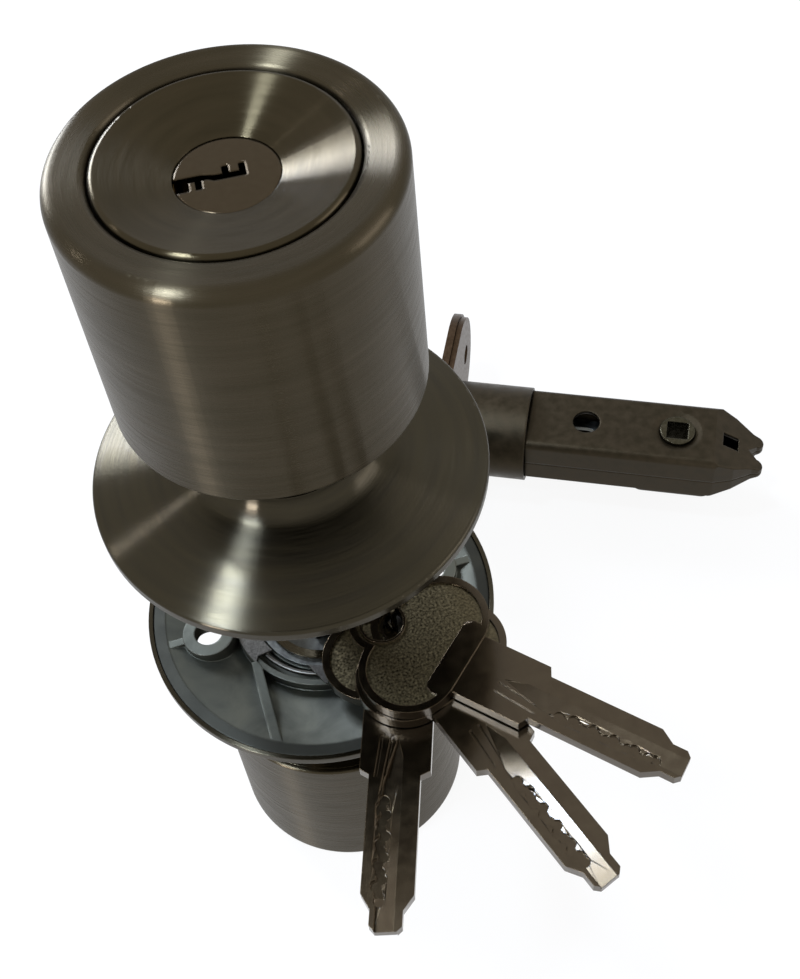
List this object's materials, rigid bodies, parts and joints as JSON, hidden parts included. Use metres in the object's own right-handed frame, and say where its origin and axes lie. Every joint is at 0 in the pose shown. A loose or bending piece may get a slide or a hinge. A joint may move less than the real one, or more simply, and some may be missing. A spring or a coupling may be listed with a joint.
{
  "type": "double cylinder lock",
  "caption": "Cylindrical knob lockset with a key cylinder in each knob, conical roses, square spindle, tubular latch and keys on a wire ring.",
  "frame": {"origin": "on the knob axis, in the rim plane of the rear rose, midway between its two screw holes", "axes": "+Z along the spindle from the rear knob to the front knob, +X along the line of the screw holes, +Y by the right-hand rule"},
  "size_m": [0.1295, 0.1492, 0.1536],
  "materials": {
    "brushed_stainless": "brushed round the knob axis",
    "satin_plug": "satin",
    "cast_zinc": "die-cast zinc, dull",
    "cylinder_brass": "turned",
    "ring_wire": "plated wire",
    "nickel_key": "nickel plated",
    "latch_case_steel": "dark plated sheet",
    "faceplate_steel": "satin",
    "bolt_zinc": "plated",
    "hub_steel": "plated",
    "spring_wire": "drawn wire",
    "plated_steel": "zinc plated"
  },
  "bodies": {
    "front_rose_unit": {"front_rose_cover": "brushed_stainless", "front_rose_plate": "cast_zinc", "front_spring_cap": "plated_steel", "front_return_spring": "spring_wire", "front_posts": "plated_steel"},
    "front_knob_unit": {"front_knob_shell": "brushed_stainless", "front_knob_face": "brushed_stainless", "front_knob_base": "brushed_stainless", "front_cylinder_holder": "cast_zinc", "front_cylinder_body": "cylinder_brass", "front_spindle_driver": "plated_steel", "front_knob_clip": "plated_steel", "spindle": "plated_steel"},
    "front_plug_unit": {"front_plug": "satin_plug", "front_wafers": "cylinder_brass", "front_plug_clip": "plated_steel", "front_tailpiece": "plated_steel", "front_lock_cam": "cylinder_brass"},
    "rear_rose_unit": {"rear_rose_cover": "brushed_stainless", "rear_rose_plate": "cast_zinc", "rear_spring_cap": "plated_steel", "rear_return_spring": "spring_wire", "key_ring": "ring_wire", "latch_faceplate": "faceplate_steel", "latch_backing": "plated_steel", "latch_tube": "latch_case_steel", "latch_spring_stop": "plated_steel", "latch_case_upper": "latch_case_steel", "latch_case_lower": "latch_case_steel", "latch_bolt_spring": "spring_wire"},
    "rear_knob_unit": {"rear_knob_shell": "brushed_stainless", "rear_knob_face": "brushed_stainless", "rear_knob_base": "brushed_stainless", "rear_cylinder_holder": "cast_zinc", "rear_cylinder_body": "cylinder_brass", "rear_spindle_driver": "plated_steel", "rear_knob_clip": "plated_steel"},
    "rear_plug_unit": {"rear_plug": "satin_plug", "rear_wafers": "cylinder_brass", "rear_plug_clip": "plated_steel", "rear_tailpiece": "plated_steel", "rear_lock_cam": "cylinder_brass"},
    "latch_hub_unit": {"latch_hub": "hub_steel"},
    "latch_bolt_unit": {"latch_bolt": "bolt_zinc", "latch_drawbar": "plated_steel"},
    "key_a_unit": {"key_a": "nickel_key"},
    "key_b_unit": {"key_b": "nickel_key"},
    "key_c_unit": {"key_c": "nickel_key"}
  },
  "joints": [
    {"name": "rear_knob_turn", "type": "hinge", "parent": "rear_rose_unit", "child": "rear_knob_unit", "pos_m": [0, 0, -0.03], "axis": [0, 0, 1], "range_deg": [-55, 55], "stiffness_Nm_per_rad": 0.06, "deforming": ["rear_return_spring"]},
    {"name": "front_half_lift", "type": "slide", "parent": "rear_rose_unit", "child": "front_rose_unit", "axis": [0, 0, 1], "range_m": [0, 0.055]},
    {"name": "front_knob_turn", "type": "hinge", "parent": "front_rose_unit", "child": "front_knob_unit", "pos_m": [0, 0, 0.067], "axis": [0, 0, 1], "range_deg": [-55, 55], "stiffness_Nm_per_rad": 0.06, "deforming": ["front_return_spring"]},
    {"name": "front_plug_turn", "type": "hinge", "parent": "front_knob_unit", "child": "front_plug_unit", "pos_m": [0, 0, 0.08], "axis": [0, 0, 1], "range_deg": [0, 90]},
    {"name": "rear_plug_turn", "type": "hinge", "parent": "rear_knob_unit", "child": "rear_plug_unit", "pos_m": [0, 0, -0.043], "axis": [0, 0, 1], "range_deg": [0, 90]},
    {"name": "latch_bolt_slide", "type": "slide", "parent": "rear_rose_unit", "child": "latch_bolt_unit", "axis": [0.891, -0.454, 0], "range_m": [0, 0.009], "stiffness_N_per_m": 300, "springref_m": -0.006, "deforming": ["latch_bolt_spring"]},
    {"name": "latch_hub_turn", "type": "hinge", "parent": "rear_rose_unit", "child": "latch_hub_unit", "pos_m": [0.0833, 0.0401, -0.0458], "axis": [0, 0, 1], "range_deg": [0, 55]},
    {"name": "key_a_swing", "type": "hinge", "parent": "rear_rose_unit", "child": "key_a_unit", "pos_m": [0.0121, -0.0086, 0], "axis": [0, 0, 1], "range_deg": [-15, 15]},
    {"name": "key_b_swing", "type": "hinge", "parent": "rear_rose_unit", "child": "key_b_unit", "pos_m": [0.0112, -0.0117, 0], "axis": [0, 0, 1], "range_deg": [-15, 15]},
    {"name": "key_c_swing", "type": "hinge", "parent": "rear_rose_unit", "child": "key_c_unit", "pos_m": [0.0079, -0.0115, 0], "axis": [0, 0, 1], "range_deg": [-15, 15]}
  ],
  "couplings": [
    {"joint": "front_knob_turn", "follows": "rear_knob_turn", "ratio": 1},
    {"joint": "latch_hub_turn", "follows": "latch_bolt_slide", "rad_per_m": 106.61}
  ]
}
